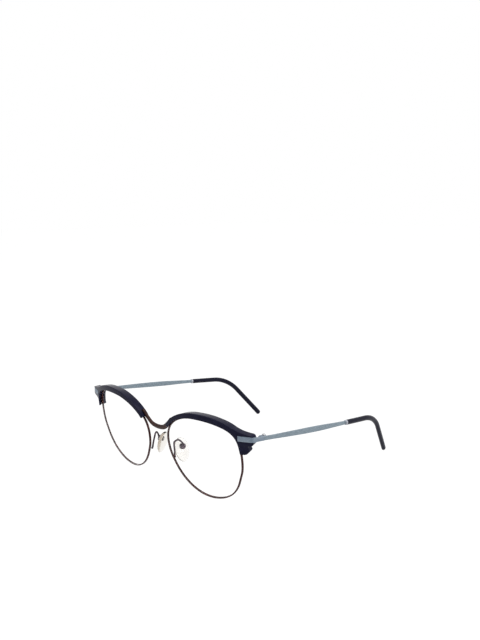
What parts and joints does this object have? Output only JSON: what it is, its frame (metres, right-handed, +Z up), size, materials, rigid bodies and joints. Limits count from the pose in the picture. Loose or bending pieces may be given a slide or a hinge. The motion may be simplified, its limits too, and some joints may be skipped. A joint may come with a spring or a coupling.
{
  "type": "cat-eye eyeglasses",
  "caption": "Cat-eye browline eyeglasses: thin metal rims under an acetate brow with flared wings, a metal bridge, rocking nose pads and folding flat metal temples with sleeved tips.",
  "frame": {"origin": "on the surface that the glasses stand on, under the middle of their footprint", "axes": "+Z up, +X to the wearer's left, +Y back towards the temple tips, so the front looks along -Y"},
  "size_m": [0.139, 0.1368, 0.0472],
  "materials": {
    "navy_acetate": "polished, near-black navy acetate",
    "brown_metal": "satin dark brown plating",
    "blue_painted_metal": "matte light blue-grey paint",
    "navy_sleeve": "satin dark navy acetate",
    "pad_arm_metal": "satin brown-grey plating",
    "screw_steel": "turned steel",
    "clear_lens": "clear, polished",
    "clear_silicone": "clear, slightly yellowed silicone"
  },
  "bodies": {
    "front": {"bridge": "brown_metal", "eyewire_left": "brown_metal", "eyewire_right": "brown_metal", "lens_left": "clear_lens", "lens_right": "clear_lens", "brow_left": "navy_acetate", "brow_right": "navy_acetate", "rim_lock_upper_left": "brown_metal", "rim_lock_upper_right": "brown_metal", "rim_lock_lower_left": "brown_metal", "rim_lock_lower_right": "brown_metal", "rim_lock_screw_left": "screw_steel", "rim_lock_screw_right": "screw_steel", "endpiece_plate_left": "blue_painted_metal", "endpiece_plate_right": "blue_painted_metal", "endpiece_screw_left": "screw_steel", "endpiece_screw_right": "screw_steel", "hinge_screw_left": "screw_steel", "hinge_screw_right": "screw_steel", "pad_arm_left": "pad_arm_metal", "pad_arm_right": "pad_arm_metal", "pad_cup_left": "pad_arm_metal", "pad_cup_right": "pad_arm_metal", "pad_screw_left": "screw_steel", "pad_screw_right": "screw_steel"},
    "temple_left": {"temple_left": "blue_painted_metal", "temple_tip_left": "navy_sleeve"},
    "temple_right": {"temple_right": "blue_painted_metal", "temple_tip_right": "navy_sleeve"},
    "pad_left": {"nose_pad_left": "clear_silicone"},
    "pad_right": {"nose_pad_right": "clear_silicone"}
  },
  "joints": [
    {"name": "temple_hinge_left", "type": "hinge", "parent": "front", "child": "temple_left", "pos_m": [0.06643, -0.04965, 0.03822], "axis": [0, 0.0109, 0.9999], "range_deg": [0, 85]},
    {"name": "temple_hinge_right", "type": "hinge", "parent": "front", "child": "temple_right", "pos_m": [-0.06643, -0.04965, 0.03822], "axis": [0, -0.0109, -0.9999], "range_deg": [0, 81]},
    {"name": "pad_rock_left", "type": "hinge", "parent": "front", "child": "pad_left", "pos_m": [0.00957, -0.05544, 0.021], "axis": [0.2244, 0.9686, 0.1066], "range_deg": [-10, 10]},
    {"name": "pad_rock_right", "type": "hinge", "parent": "front", "child": "pad_right", "pos_m": [-0.00957, -0.05544, 0.021], "axis": [0.2244, -0.9686, -0.1066], "range_deg": [-10, 10]}
  ]
}
